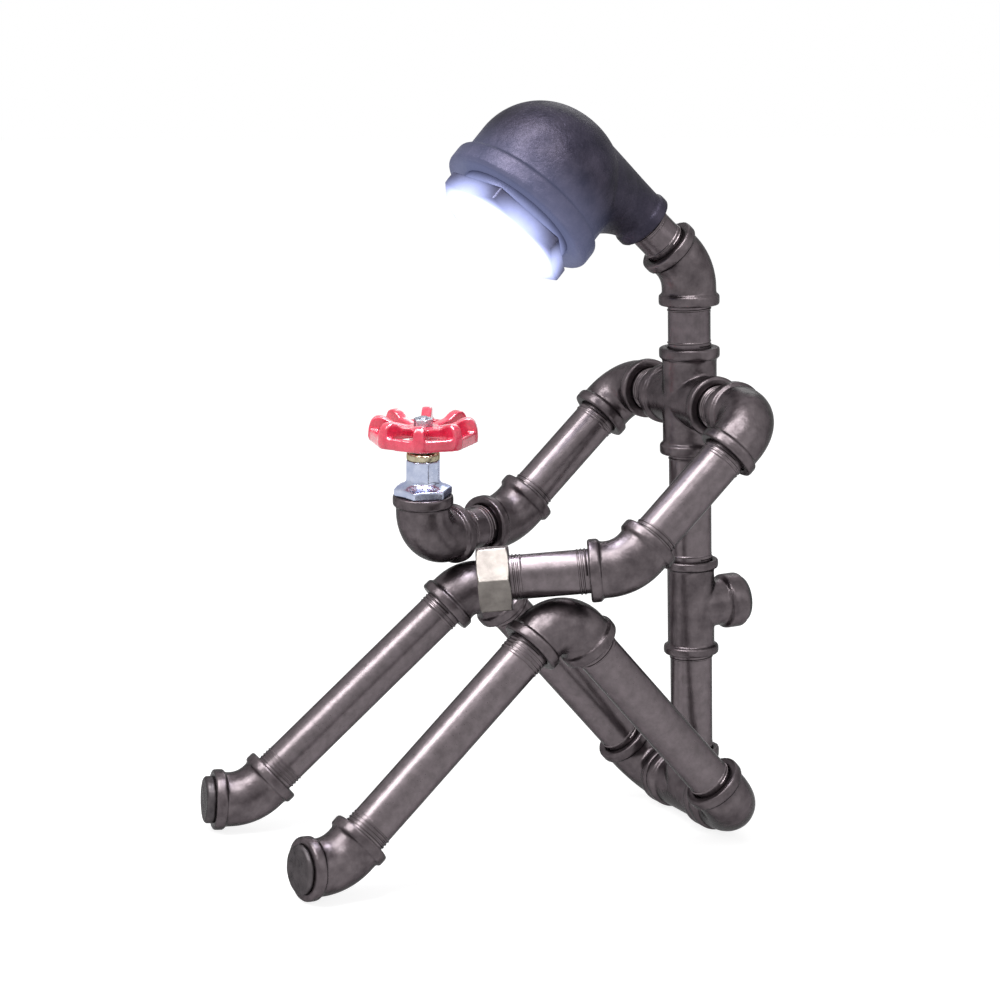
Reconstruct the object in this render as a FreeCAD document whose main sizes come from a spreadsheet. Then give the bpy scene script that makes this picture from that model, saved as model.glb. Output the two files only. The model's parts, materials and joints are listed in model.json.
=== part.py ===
import FreeCAD, Part
import math
import os
import Sketcher

# A seated figure made of half inch black pipe and screwed fittings, with a lamp in its head and a
# tap wheel in its right hand as the switch. The figure faces -Y, its left is +X, and it sits on the
# floor plane z = 0. Each piece is modelled in a frame of its own and then placed along the run of pipe.

doc = FreeCAD.newDocument("PipeFigureLamp")
sheet = doc.addObject("Spreadsheet::Sheet", "Sizes")

driving_sizes = [
    ("pipe_od", 21.3, "outside of the half inch pipe"),
    ("pipe_bore", 16.1, "inside of the pipe"),
    ("pipe_edge", 0.8, "chamfer on a pipe end"),
    ("thread_grip", 12.0, "pipe screwed into a fitting"),
    ("thread_gap", 0.05, "running clearance of a screwed end, on the radius"),
    ("end_gap", 0.5, "from the pipe end to the shoulder in the socket"),
    ("nipple_gap", 0.6, "between two fittings on a close nipple"),
    ("band_od", 30.4, "reinforcing band at a fitting's mouth"),
    ("band_height", 5.5, "length of the band"),
    ("band_round", 1.0, "rounding of the band's edges"),
    ("body_od", 27.2, "cast body of elbows and cross"),
    ("passage_od", 17.0, "way through a fitting"),
    ("mouth_edge", 0.7, "chamfer at a fitting's mouth"),
    ("elbow_reach", 24.2, "right angle elbow, corner to face"),
    ("elbow_radius", 16.0, "middle line of its bend"),
    ("elbow_turn", 90, "degrees"),
    ("bend_reach", 18.1, "half turn elbow, corner to face"),
    ("bend_radius", 24.0, "middle line of its bend"),
    ("bend_turn", 45, "degrees"),
    ("cross_reach", 27.0, "cross, middle to face"),
    ("hip_reach", 22.0, "hip tee, middle to face"),
    ("cable_reach", 24.5, "cable tee, middle to face along the spine"),
    ("cable_body_od", 23.8, "slim body of the cable tee"),
    ("cable_band_od", 28.0, "its bands"),
    ("cable_band_height", 4.5, "length of its bands"),
    ("cable_height", 96.2, "cable tee above the hip tee, middle to middle"),
    ("drum_reach", 27.9, "cable tee, middle to the end of the drum"),
    ("drum_height", 10.5, "length of the drum"),
    ("drum_round", 1.7, "rounding of the drum's rim"),
    ("shoulder_height", 202.1, "cross above the hip tee, middle to middle"),
    ("shoulder_gap", 14.1, "nipple seen between cross and shoulder elbow"),
    ("neck_length", 21.0, "neck pipe seen between cross and neck bend"),
    ("neck_turn", 3.3, "degrees the neck bend faces to the figure's right"),
    ("head_nipple_length", 15.5, "nipple seen between neck bend and head"),
    ("head_turn", 6.0, "degrees the head is rolled to the figure's left"),
    ("thigh_length", 102.0, "thigh pipe between its fittings"),
    ("shin_length", 119.0, "shin pipe between its fittings"),
    ("left_knee_turn", 2.6, "degrees the left shin leans outwards"),
    ("right_knee_turn", 5.5, "degrees the right shin leans outwards"),
    ("left_foot_turn", 6.0, "degrees the left foot turns outwards"),
    ("right_foot_turn", 10.0, "degrees the right foot turns outwards"),
    ("spine_lean", 2.7, "degrees the back leans forwards"),
    ("arm_length", 54.5, "upper arm pipe between its fittings"),
    ("arm_pitch", 42.3, "degrees the upper arms point below square to the spine"),
    ("forearm_length", 37.3, "left forearm pipe between bend and cap"),
    ("wrist_length", 18.4, "right forearm nipple between bend and wrist"),
    ("left_elbow_turn", 39.0, "degrees the left forearm turns inwards"),
    ("right_elbow_turn", 29.4, "degrees the right forearm turns inwards"),
    ("wrist_roll", -3.4, "degrees the valve leans from the arm's upright plane"),
    ("plug_od", 23.6, "face of a toe plug"),
    ("plug_edge", 1.0, "chamfer of that face"),
    ("left_plug_stand", 2.6, "left plug's face in front of the band"),
    ("right_plug_stand", 4.4, "right plug's face in front of the band"),
    ("cap_across", 30.0, "hexagon of the hand cap across its flats"),
    ("cap_length", 15.6, "hand cap"),
    ("cap_edge", 0.9, "how far the cap's corners are turned off"),
    ("cap_turn", 11.0, "degrees the cap is screwed round"),
    ("head_reach", 44.2, "head, corner to the lamp face"),
    ("head_neck_reach", 56.6, "head, corner to the neck face"),
    ("head_band_od", 82.0, "band round the lamp opening"),
    ("head_band_height", 10.8, "length of that band"),
    ("head_band_round", 2.4, "rounding of its edges"),
    ("head_body_od", 75.6, "head body behind the band"),
    ("head_crown", 14.0, "top of the head above its corner"),
    ("head_floor", 3.2, "flat left in the middle of the head's dome"),
    ("ring_thread_od", 60.2, "screwed barrel of the lens ring"),
    ("ring_thread_length", 17.0, "its length"),
    ("ring_stand", 4.4, "barrel seen between the lamp face and the hexagon"),
    ("ring_across", 62.8, "hexagon of the lens ring across its flats"),
    ("ring_height", 8.6, "hexagon of the lens ring"),
    ("ring_edge", 1.6, "how far its corners are turned off"),
    ("ring_turn", 11.6, "degrees the lens ring is screwed round"),
    ("ring_bore", 51.0, "bore behind the lens"),
    ("lens_od", 54.8, "lens"),
    ("lens_thickness", 3.6, "lens at its rim"),
    ("lens_recess", 1.2, "lens set back from the ring's face"),
    ("seat_gap", 0.1, "loose fit of lens and washer in the ring"),
    ("washer_thickness", 1.0, "gasket under the lens"),
    ("reflector_length", 12.0, "reflector cup"),
    ("reflector_wall", 1.2, "its wall"),
    ("reflector_throat", 20.0, "inside of its narrow end"),
    ("board_thickness", 1.6, "board of light emitting diodes"),
    ("sink_length", 12.0, "heat sink behind the board"),
    ("sink_base", 3.0, "solid plate of the heat sink"),
    ("sink_gap", 0.25, "heat sink in the ring's bore"),
    ("fin_thickness", 1.4, "one fin"),
    ("fin_count", 9, "fins side by side"),
    ("bonnet_across", 25.8, "hexagon of the valve bonnet"),
    ("bonnet_flange", 4.2, "its height"),
    ("bonnet_edge", 0.8, "how far its corners are turned off"),
    ("bonnet_turn", 27.0, "degrees the hexagon is screwed round"),
    ("bonnet_shoulder", 3.6, "slope between hexagon and column"),
    ("column_across", 16.2, "eight sided column"),
    ("column_turn", 17.0, "degrees the column's sides are turned"),
    ("column_height", 10.2, "column above the slope"),
    ("gland_od", 16.6, "gland nut on the column"),
    ("gland_height", 3.6, "gland nut"),
    ("spindle_od", 6.0, "switch spindle"),
    ("square_across", 5.0, "square of the spindle in the wheel"),
    ("switch_od", 14.0, "rotary switch can"),
    ("switch_length", 20.0, "rotary switch can"),
    ("wheel_od", 55.0, "hand wheel over its eight corners"),
    ("wheel_corners", 8, "corners, each with a spoke"),
    ("wheel_turn", -4.8, "degrees the wheel is turned when the switch is off"),
    ("rim_height", 6.0, "wheel rim"),
    ("rim_width", 3.6, "wheel rim, measured along a spoke"),
    ("spoke_width", 5.4, "spoke and its hump"),
    ("spoke_depth", 4.6, "spoke from its underside to its top"),
    ("hump_height", 12.9, "top of a hump above the rim's underside"),
    ("hub_od", 15.0, "wheel hub"),
    ("hub_height", 13.0, "wheel hub"),
    ("hub_drop", 4.9, "hub below the rim's underside"),
    ("hub_lift", 0.6, "gap between gland nut and hub"),
    ("nut_across", 8.6, "nut on the spindle"),
    ("nut_height", 3.8, "that nut"),
    ("nut_edge", 0.5, "how far its corners are turned off"),
    ("screw_od", 4.0, "screwed end of the spindle"),
    ("screw_stand", 0.8, "screwed end above the nut"),
    ("lead_od", 5.0, "wiring inside the pipes"),
    ("lead_bend", 6.5, "middle line of its bends"),
    ("grommet_flange_od", 24.4, "outside of the cable grommet"),
    ("grommet_flange", 1.5, "flange outside the drum"),
    ("grommet_length", 11.0, "grommet inside the drum"),
    ("grommet_bore", 8.0, "hole for the cable"),
    ("splice_across", 10.0, "wire joint block"),
    ("splice_length", 16.0, "wire joint block along the spine"),
]
for row, (name, value, note) in enumerate(driving_sizes, start=1):
    sheet.set("A%d" % row, name)
    sheet.set("B%d" % row, str(value))
    sheet.set("C%d" % row, note)
    sheet.setAlias("B%d" % row, name)
doc.recompute()

names = [row[0] for row in driving_sizes]
origin = FreeCAD.Vector(0, 0, 0)
x_axis = FreeCAD.Vector(1, 0, 0)
y_axis = FreeCAD.Vector(0, 1, 0)
z_axis = FreeCAD.Vector(0, 0, 1)


def bind(text):
    """A formula in plain size names, as the sheet's own names."""
    for name in sorted(names, key=len, reverse=True):
        marked = "<" + str(names.index(name)) + ">"
        text = text.replace(name, marked)
    for index, name in enumerate(names):
        text = text.replace("<" + str(index) + ">", "Sizes." + name)
    return text


def number(text):
    value = sheet.evalExpression(bind(text))
    return float(getattr(value, "Value", value))


# Sizes that several pieces share, written once as formulas.
socket_radius = "(pipe_od / 2 + thread_gap)"
socket_depth = "(thread_grip + end_gap)"
column_top = "(bonnet_flange + bonnet_shoulder + column_height)"
ring_seat = "(lens_recess + lens_thickness + washer_thickness)"
lens_seat_radius = "(lens_od / 2 + seat_gap)"


# Sketches and features

def body_named(label):
    body = doc.addObject("PartDesign::Body", label)
    body.Label = label
    return body


def origin_plane(body, role):
    return [item for item in body.Origin.OriginFeatures if item.Role == role][0]


def sketch_on(body, name, role="XZ_Plane", lift="0", turn="0"):
    sketch = body.newObject("Sketcher::SketchObject", name)
    sketch.AttachmentSupport = [(origin_plane(body, role), "")]
    sketch.MapMode = "FlatFace"
    offset = FreeCAD.Placement(FreeCAD.Vector(0, 0, number(lift)), FreeCAD.Rotation(z_axis, number(turn)))
    sketch.AttachmentOffset = offset
    if lift != "0":
        sketch.setExpression("AttachmentOffset.Base.z", bind(lift))
    if turn != "0":
        sketch.setExpression("AttachmentOffset.Rotation.Angle", "(%s) * 1deg" % bind(turn))
    return sketch


def pin_point(sketch, edge, end, across, up):
    """Ties one end of an edge to two formulas, measured from the sketch's origin."""
    for kind, formula in (("DistanceX", across), ("DistanceY", up)):
        rule = Sketcher.Constraint(kind, -1, 1, edge, end, number(formula))
        index = sketch.addConstraint(rule)
        sketch.setExpression("Constraints[%d]" % index, bind(formula))


def add_outline(sketch, corners):
    """A closed outline of straight edges through corners given as pairs of formulas."""
    first = sketch.GeometryCount
    points = [FreeCAD.Vector(number(across), number(up), 0) for across, up in corners]
    count = len(corners)
    for index in range(count):
        sketch.addGeometry(Part.LineSegment(points[index], points[(index + 1) % count]))
    for index in range(count):
        following = first + (index + 1) % count
        sketch.addConstraint(Sketcher.Constraint("Coincident", first + index, 2, following, 1))
    for index, (across, up) in enumerate(corners):
        pin_point(sketch, first + index, 1, across, up)


def add_circle(sketch, diameter, across="0"):
    circle = Part.Circle(FreeCAD.Vector(number(across), 0, 0), z_axis, number(diameter) / 2)
    index = sketch.addGeometry(circle)
    pin_point(sketch, index, 3, across, "0")
    rule = sketch.addConstraint(Sketcher.Constraint("Diameter", index, number(diameter)))
    sketch.setExpression("Constraints[%d]" % rule, bind(diameter))


def turned(body, name, corners, turn="0", cut=False, role="XZ_Plane"):
    """Turns an outline of (radius, height) pairs about the upright axis, or that axis tipped by a turn."""
    sketch = sketch_on(body, name + "_outline", role, turn="-(%s)" % turn if turn != "0" else "0")
    add_outline(sketch, corners)
    kind = "PartDesign::Groove" if cut else "PartDesign::Revolution"
    feature = body.newObject(kind, name)
    feature.Profile = sketch
    feature.ReferenceAxis = (sketch, ["V_Axis"])
    feature.Angle = 360
    return feature


def padded(body, name, sketch, length, middle=False, backwards=False):
    pad = body.newObject("PartDesign::Pad", name)
    pad.Profile = sketch
    pad.setExpression("Length", bind(length))
    pad.Midplane = middle
    pad.Reversed = backwards
    return pad


def pocketed(body, name, sketch, depth, backwards=False):
    """Cuts a sketch's outline into the body and makes sure that it took something away."""
    doc.recompute()
    before = body.Shape.Volume
    pocket = body.newObject("PartDesign::Pocket", name)
    pocket.Profile = sketch
    pocket.setExpression("Length", bind(depth))
    pocket.Reversed = backwards
    doc.recompute()
    if body.Shape.Volume > before - 0.001:
        raise ValueError(name + " cuts nothing")
    return pocket


def circle_edges(shape, radius, back_of=None):
    """Names of the round edges of one radius, all of them or those at less than one x."""
    found = []
    for index, edge in enumerate(shape.Edges, start=1):
        curve = edge.Curve
        if curve.TypeId == "Part::GeomCircle" and abs(curve.Radius - radius) < 0.01:
            if back_of is None or curve.Center.x < back_of:
                found.append("Edge%d" % index)
    return found


def rounded(body, name, diameter, size, back_of=None):
    doc.recompute()
    solid = body.Tip
    fillet = body.newObject("PartDesign::Fillet", name)
    fillet.Base = (solid, circle_edges(solid.Shape, number(diameter) / 2, back_of))
    fillet.setExpression("Radius", bind(size))
    return fillet


def polygon(across, sides, turn="0"):
    """Corners of an even polygon, from its width across flats and the turn of its first corner."""
    step = 360 / sides
    reach = "(%s) / 2 / cos(%gdeg)" % (across, step / 2)
    angles = ["((%s + %g) * 1deg)" % (turn, step * index) for index in range(sides)]
    return [("%s * cos(%s)" % (reach, angle), "%s * sin(%s)" % (reach, angle)) for angle in angles]


# Pipes and screwed fittings

def pipe(label, seen_length):
    """A pipe or nipple that starts at its screwed-in end and runs up z."""
    body = body_named(label)
    sketch = sketch_on(body, label + "_ring", "XY_Plane")
    add_circle(sketch, "pipe_od")
    add_circle(sketch, "pipe_bore")
    tube = padded(body, label + "_tube", sketch, seen_length + " + 2 * thread_grip")
    doc.recompute()
    chamfer = body.newObject("PartDesign::Chamfer", label + "_edges")
    chamfer.Base = (tube, circle_edges(tube.Shape, number("pipe_od") / 2))
    chamfer.setExpression("Size", bind("pipe_edge"))
    return body


def band(body, name, reach, turn, band_od="band_od", band_height="band_height", start=None):
    """One mouth of a fitting: its band, and the length of body under it from start."""
    inner = start if start else "(%s) - (%s)" % (reach, band_height)
    radius = "(%s) / 2" % band_od
    corners = [("0", inner), (radius, inner), (radius, reach), ("0", reach)]
    return turned(body, name, corners, turn)


def socket(body, name, reach, turn, way_from=None):
    """The screwed socket in one mouth, and the way through behind it where way_from gives its start."""
    shoulder = "%s - %s" % (reach, socket_depth)
    corners = [
        (socket_radius, shoulder),
        (socket_radius, "%s - mouth_edge" % reach),
        ("%s + mouth_edge" % socket_radius, reach),
        ("0", reach),
    ]
    if way_from is None:
        corners = [("0", shoulder)] + corners
    else:
        corners = [("0", way_from), ("passage_od / 2", way_from), ("passage_od / 2", shoulder)] + corners
    return turned(body, name, corners, turn, cut=True)


def bend_path(body, name, reach, radius, turn):
    """Middle line of an elbow: in from below, round the bend, and out at the turn."""
    sketch = sketch_on(body, name)
    far, bend = number(reach), number(radius)
    angle = math.radians(number(turn))
    tangent = bend * math.tan(angle / 2)
    sketch.addGeometry(Part.LineSegment(FreeCAD.Vector(0, -far, 0), FreeCAD.Vector(0, -tangent, 0)))
    middle = Part.Circle(FreeCAD.Vector(bend, -tangent, 0), z_axis, bend)
    sketch.addGeometry(Part.ArcOfCircle(middle, math.pi - angle, math.pi))
    way_out = FreeCAD.Vector(math.sin(angle), math.cos(angle), 0)
    sketch.addGeometry(Part.LineSegment(way_out * tangent, way_out * far))
    sketch.addConstraint(Sketcher.Constraint("Vertical", 0))
    sketch.addConstraint(Sketcher.Constraint("Tangent", 0, 2, 1, 2))
    sketch.addConstraint(Sketcher.Constraint("Tangent", 1, 1, 2, 1))
    rule = sketch.addConstraint(Sketcher.Constraint("Radius", 1, bend))
    sketch.setExpression("Constraints[%d]" % rule, bind(radius))
    pin_point(sketch, 0, 1, "0", "-" + reach)
    pin_point(sketch, 2, 2, "%s * sin(%s * 1deg)" % (reach, turn), "%s * cos(%s * 1deg)" % (reach, turn))
    rule = sketch.addConstraint(Sketcher.Constraint("Angle", 2, math.pi / 2 - angle))
    sketch.setExpression("Constraints[%d]" % rule, "90deg - %s * 1deg" % bind(turn))
    return sketch


def swept(body, name, path, diameter, reach, cut=False):
    ring = sketch_on(body, name + "_ring", "XY_Plane", lift="-" + reach)
    add_circle(ring, diameter)
    feature = body.newObject("PartDesign::SubtractivePipe" if cut else "PartDesign::AdditivePipe", name)
    feature.Profile = ring
    feature.Spine = (path, [])
    return feature


def elbow(label, reach, radius, turn):
    """An elbow with its corner at the origin, one mouth facing -z and the other at the turn."""
    body = body_named(label)
    path = bend_path(body, label + "_path", reach, radius, turn)
    swept(body, label + "_casting", path, "body_od", reach)
    band(body, label + "_band_in", reach, "180")
    band(body, label + "_band_out", reach, turn)
    rounded(body, label + "_rounds", "band_od", "band_round")
    swept(body, label + "_passage", path, "passage_od", reach, cut=True)
    socket(body, label + "_socket_in", reach, "180")
    socket(body, label + "_socket_out", reach, turn)
    return body


def right_elbow(label):
    return elbow(label, "elbow_reach", "elbow_radius", "elbow_turn")


def half_elbow(label):
    return elbow(label, "bend_reach", "bend_radius", "bend_turn")


def make_cross():
    """The shoulders: one arm turned, and patterned four times about the middle."""
    body = body_named("shoulder_cross")
    corners = [
        ("0", "0"),
        ("body_od / 2", "0"),
        ("body_od / 2", "cross_reach - band_height"),
        ("band_od / 2", "cross_reach - band_height"),
        ("band_od / 2", "cross_reach"),
        ("0", "cross_reach"),
    ]
    arm = turned(body, "cross_arm", corners)
    arms = body.newObject("PartDesign::PolarPattern", "cross_arms")
    arms.Originals = [arm]
    arms.Axis = (origin_plane(body, "Y_Axis"), [""])
    arms.Angle = 360
    arms.Occurrences = 4
    body.Tip = arms
    rounded(body, "cross_rounds", "band_od", "band_round")
    for index, turn in enumerate(("0", "90", "180", "270")):
        socket(body, "cross_socket_%d" % index, "cross_reach", turn, "0")
    return body


def make_hip_tee():
    """The pelvis: a run from hip to hip along x and a mouth for the spine up z."""
    body = body_named("hip_tee")
    for index, turn in enumerate(("90", "270", "0")):
        band(body, "hip_run_%d" % index, "hip_reach", turn, "body_od", start="0")
        if turn == "0":
            band(body, "hip_band_%d" % index, "hip_reach", turn, "cable_band_od", "cable_band_height")
        else:
            band(body, "hip_band_%d" % index, "hip_reach", turn)
    rounded(body, "hip_rounds", "band_od", "band_round")
    for index, turn in enumerate(("90", "270", "0")):
        socket(body, "hip_socket_%d" % index, "hip_reach", turn, "0")
    return body


def make_cable_tee():
    """A slim tee in the spine whose branch is a round drum behind the back, along x here."""
    body = body_named("cable_tee")
    for index, turn in enumerate(("0", "180")):
        band(body, "cable_run_%d" % index, "cable_reach", turn, "cable_body_od", start="0")
        band(body, "cable_band_%d" % index, "cable_reach", turn, "cable_band_od", "cable_band_height")
    band(body, "cable_branch", "drum_reach", "90", "cable_body_od", start="0")
    rounded(body, "cable_rounds", "cable_band_od", "band_round")
    band(body, "cable_drum", "drum_reach", "90", "cable_band_od - 0.2", "drum_height")
    rounded(body, "drum_rounds", "cable_band_od - 0.2", "drum_round")
    socket(body, "cable_socket_up", "cable_reach", "0", "0")
    socket(body, "cable_socket_down", "cable_reach", "180", "0")
    socket(body, "cable_socket_back", "drum_reach", "90", "0")
    return body


def make_toe_plug(label, stand):
    """A round plug: a screwed barrel below the mouth and a chamfered face in front of it."""
    body = body_named(label)
    corners = [
        ("0", "-thread_grip"),
        ("pipe_od / 2 - pipe_edge", "-thread_grip"),
        ("pipe_od / 2", "pipe_edge - thread_grip"),
        ("pipe_od / 2", "0"),
        ("plug_od / 2", "0"),
        ("plug_od / 2", stand + " - plug_edge"),
        ("plug_od / 2 - plug_edge", stand),
        ("0", stand),
    ]
    turned(body, label + "_turning", corners)
    return body


def hexagon_block(body, name, across, height, edge, turn="0", both_ends=False):
    """A hexagon up z whose corners are turned off by a cone at its far end, or at both."""
    sketch = sketch_on(body, name + "_sides", "XY_Plane")
    add_outline(sketch, polygon(across, 6, turn))
    padded(body, name + "_block", sketch, height)
    flat = "(%s) / 2" % across
    corner = "(%s) / 2 / cos(30deg)" % across
    outer = "2 * %s - %s" % (corner, flat)
    top = [(flat, height), (outer, "%s - 2 * %s" % (height, edge)), (outer, height + " + 1"), (flat, height + " + 1")]
    turned(body, name + "_corners", top, cut=True)
    if both_ends:
        low = [(flat, "0"), (outer, "2 * " + edge), (outer, "-1"), (flat, "-1")]
        turned(body, name + "_low_corners", low, cut=True)


def make_hand_cap():
    """The left hand: a hexagon cap with a blind socket that opens towards -z."""
    body = body_named("left_hand_cap")
    hexagon_block(body, "hand_cap", "cap_across", "cap_length", "cap_edge", "cap_turn", both_ends=True)
    corners = [
        ("0", "-1"),
        (socket_radius + " + mouth_edge", "-1"),
        (socket_radius + " + mouth_edge", "0"),
        (socket_radius, "mouth_edge"),
        (socket_radius, socket_depth),
        ("0", socket_depth),
    ]
    turned(body, "hand_cap_socket", corners, cut=True)
    return body


def make_grommet():
    """The cable's way in: a flanged bush in the drum, running back from the flange's seat."""
    body = body_named("cable_grommet")
    corners = [
        ("grommet_bore / 2", "-grommet_length"),
        ("pipe_od / 2", "-grommet_length"),
        ("pipe_od / 2", "0"),
        ("grommet_flange_od / 2", "0"),
        ("grommet_flange_od / 2 - 0.5", "grommet_flange"),
        ("grommet_bore / 2", "grommet_flange"),
    ]
    turned(body, "grommet_turning", corners)
    return body


# Head and lamp

def make_head():
    """A reducing elbow: the neck's mouth faces -z, the wide lamp mouth faces +x.

    A domed bell stands on the lamp mouth, and round sections shrink from it to the neck, level at the top."""
    body = body_named("head_elbow")
    bell = "(head_body_od / 2)"
    dome = [("0", "-head_crown"), (bell, "-head_crown"), (bell, "head_reach"), ("0", "head_reach")]
    turned(body, "head_bell", dome, "90")
    rounded(body, "head_dome", "head_body_od", "head_body_od / 2 - head_floor", back_of=0)
    neck = "(body_od / 2 + 0.4)"
    steps = ((0, 1), (0.3, 0.83), (0.57, 0.48), (0.8, 0.15), (1, 0))
    sections = []
    for index, (along, share) in enumerate(steps):
        radius = "(%s + %g * (%s - 2 - %s))" % (neck, share, bell, neck)
        level = "(%s + %g * (head_crown - 0.4 - %s))" % (neck, share, neck)
        lift = "-%g * (head_neck_reach - band_height)" % along
        ring = sketch_on(body, "head_section_%d" % index, "XY_Plane", lift=lift)
        add_circle(ring, "2 * " + radius, "%s - %s" % (radius, level))
        sections.append(ring)
    loft = body.newObject("PartDesign::AdditiveLoft", "head_nape")
    loft.Profile = sections[0]
    loft.Sections = sections[1:]
    loft.Ruled = False
    past = [("0", "head_reach"), ("head_reach", "head_reach"), ("head_reach", "2 * head_reach"), ("0", "2 * head_reach")]
    turned(body, "head_face", past, "90", cut=True)
    band(body, "head_lamp_band", "head_reach", "90", "head_band_od", "head_band_height")
    rounded(body, "head_lamp_rounds", "head_band_od", "head_band_round")
    band(body, "head_neck_band", "head_neck_reach", "180")
    rounded(body, "head_neck_rounds", "band_od", "band_round")
    deep = "head_reach + ring_stand - ring_thread_length - end_gap"
    hollow = [
        ("0", "0.1 * head_reach"),
        ("0.16 * head_body_od", "0.1 * head_reach"),
        ("ring_bore / 2", "0.36 * head_reach"),
        ("ring_bore / 2", deep),
        ("ring_thread_od / 2 + thread_gap", deep),
        ("ring_thread_od / 2 + thread_gap", "head_reach - mouth_edge"),
        ("ring_thread_od / 2 + thread_gap + mouth_edge", "head_reach"),
        ("0", "head_reach"),
    ]
    turned(body, "head_hollow", hollow, "90", cut=True)
    socket(body, "head_neck_socket", "head_neck_reach", "180", "-0.3 * head_reach")
    return body


def make_lens_ring():
    """A hexagon bush: its face looks up z, the lens sits in its mouth and its barrel hangs below."""
    body = body_named("lens_ring")
    hexagon_block(body, "ring_hexagon", "ring_across", "ring_height", "ring_edge", "ring_turn")
    barrel = [
        ("0", "-ring_thread_length"),
        ("ring_thread_od / 2 - pipe_edge", "-ring_thread_length"),
        ("ring_thread_od / 2", "pipe_edge - ring_thread_length"),
        ("ring_thread_od / 2", "0"),
        ("0", "0"),
    ]
    turned(body, "ring_barrel", barrel)
    bore = [
        ("0", "-ring_thread_length"),
        ("ring_bore / 2", "-ring_thread_length"),
        ("ring_bore / 2", "ring_height - " + ring_seat),
        (lens_seat_radius, "ring_height - " + ring_seat),
        (lens_seat_radius, "ring_height"),
        ("0", "ring_height"),
    ]
    turned(body, "ring_bore_cut", bore, cut=True)
    return body


def make_lens():
    """A round glass with a slightly domed back, its front face at z = 0."""
    body = body_named("lens")
    corners = [
        ("0", "-lens_thickness - 1"),
        ("ring_bore / 4", "-lens_thickness - 0.7"),
        ("ring_bore / 2 - 1", "-lens_thickness"),
        ("lens_od / 2", "-lens_thickness"),
        ("lens_od / 2", "-0.5"),
        ("lens_od / 2 - 0.5", "0"),
        ("0", "0"),
    ]
    turned(body, "lens_turning", corners)
    return body


def make_gasket():
    body = body_named("lens_gasket")
    corners = [
        ("ring_bore / 2", "-washer_thickness"),
        ("lens_od / 2", "-washer_thickness"),
        ("lens_od / 2", "0"),
        ("ring_bore / 2", "0"),
    ]
    turned(body, "gasket_turning", corners)
    return body


def make_reflector():
    """A cup that opens towards z = 0, where its lip stands just behind the lens."""
    body = body_named("reflector")
    lip = "(ring_bore / 2 - sink_gap)"
    corners = [
        (lip + " - reflector_wall", "0"),
        (lip, "0"),
        (lip, "-reflector_wall"),
        ("reflector_throat / 2 + reflector_wall", "-reflector_length"),
        ("reflector_throat / 2", "-reflector_length"),
    ]
    turned(body, "reflector_turning", corners)
    return body


def make_led_board():
    body = body_named("led_board")
    sketch = sketch_on(body, "board_circle", "XY_Plane")
    add_circle(sketch, "ring_bore - 8")
    padded(body, "board_plate", sketch, "board_thickness", backwards=True)
    return body


def make_heat_sink():
    """A round plate with upright fins behind it, all inside the lens ring's bore."""
    body = body_named("heat_sink")
    sketch = sketch_on(body, "sink_circle", "XY_Plane")
    add_circle(sketch, "ring_bore - 2 * sink_gap")
    padded(body, "sink_plate", sketch, "sink_length", backwards=True)
    doc.recompute()
    slot = sketch_on(body, "sink_slot", "XY_Plane", lift="-sink_length")
    pitch = "(ring_bore - 2 * sink_gap) / fin_count"
    half = "ring_bore"
    left = "-(%s - fin_thickness) / 2" % pitch
    right = "(%s - fin_thickness) / 2" % pitch
    add_outline(slot, [(left, "-" + half), (right, "-" + half), (right, half), (left, half)])
    first = pocketed(body, "sink_gap_cut", slot, "sink_length - sink_base", backwards=True)
    side = int(number("fin_count")) // 2
    gaps = body.newObject("PartDesign::LinearPattern", "sink_gaps")
    gaps.Originals = [first]
    gaps.Direction = (origin_plane(body, "X_Axis"), [""])
    gaps.setExpression("Length", bind("(%s) * %d" % (pitch, side)))
    gaps.Occurrences = side + 1
    other = body.newObject("PartDesign::LinearPattern", "sink_gaps_left")
    other.Originals = [first]
    other.Direction = (origin_plane(body, "X_Axis"), [""])
    other.Reversed = True
    other.setExpression("Length", bind("(%s) * %d" % (pitch, side)))
    other.Occurrences = side + 1
    body.Tip = other
    return body


# Valve and switch in the right hand

def make_bonnet():
    """The chromed valve bonnet: screwed barrel below z = 0, hexagon, sloped shoulder and column."""
    body = body_named("valve_bonnet")
    hexagon_block(body, "bonnet_hexagon", "bonnet_across", "bonnet_flange", "bonnet_edge", "bonnet_turn")
    foot = "(bonnet_across / 2 - bonnet_edge)"
    neck = "(column_across / 2)"
    shoulder = [
        ("0", "bonnet_flange"),
        (foot, "bonnet_flange"),
        ("%s + 0.45 * (%s - %s)" % (neck, foot, neck), "bonnet_flange + 0.35 * bonnet_shoulder"),
        ("%s + 0.15 * (%s - %s)" % (neck, foot, neck), "bonnet_flange + 0.7 * bonnet_shoulder"),
        (neck, "bonnet_flange + bonnet_shoulder"),
        ("0", "bonnet_flange + bonnet_shoulder"),
    ]
    turned(body, "bonnet_slope", shoulder)
    column = sketch_on(body, "column_sides", "XY_Plane", lift="bonnet_flange")
    add_outline(column, polygon("column_across", 8, "column_turn"))
    padded(body, "bonnet_column", column, "bonnet_shoulder + column_height")
    barrel = [
        ("0", "-thread_grip"),
        ("pipe_od / 2 - pipe_edge", "-thread_grip"),
        ("pipe_od / 2", "pipe_edge - thread_grip"),
        ("pipe_od / 2", "0"),
        ("0", "0"),
    ]
    turned(body, "bonnet_barrel", barrel)
    bore = [
        ("0", "-thread_grip"),
        ("switch_od / 2 + thread_gap", "-thread_grip"),
        ("switch_od / 2 + thread_gap", "switch_length - thread_grip"),
        ("spindle_od / 2 + thread_gap", "switch_length - thread_grip"),
        ("spindle_od / 2 + thread_gap", column_top),
        ("0", column_top),
    ]
    turned(body, "bonnet_bore", bore, cut=True)
    return body


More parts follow.
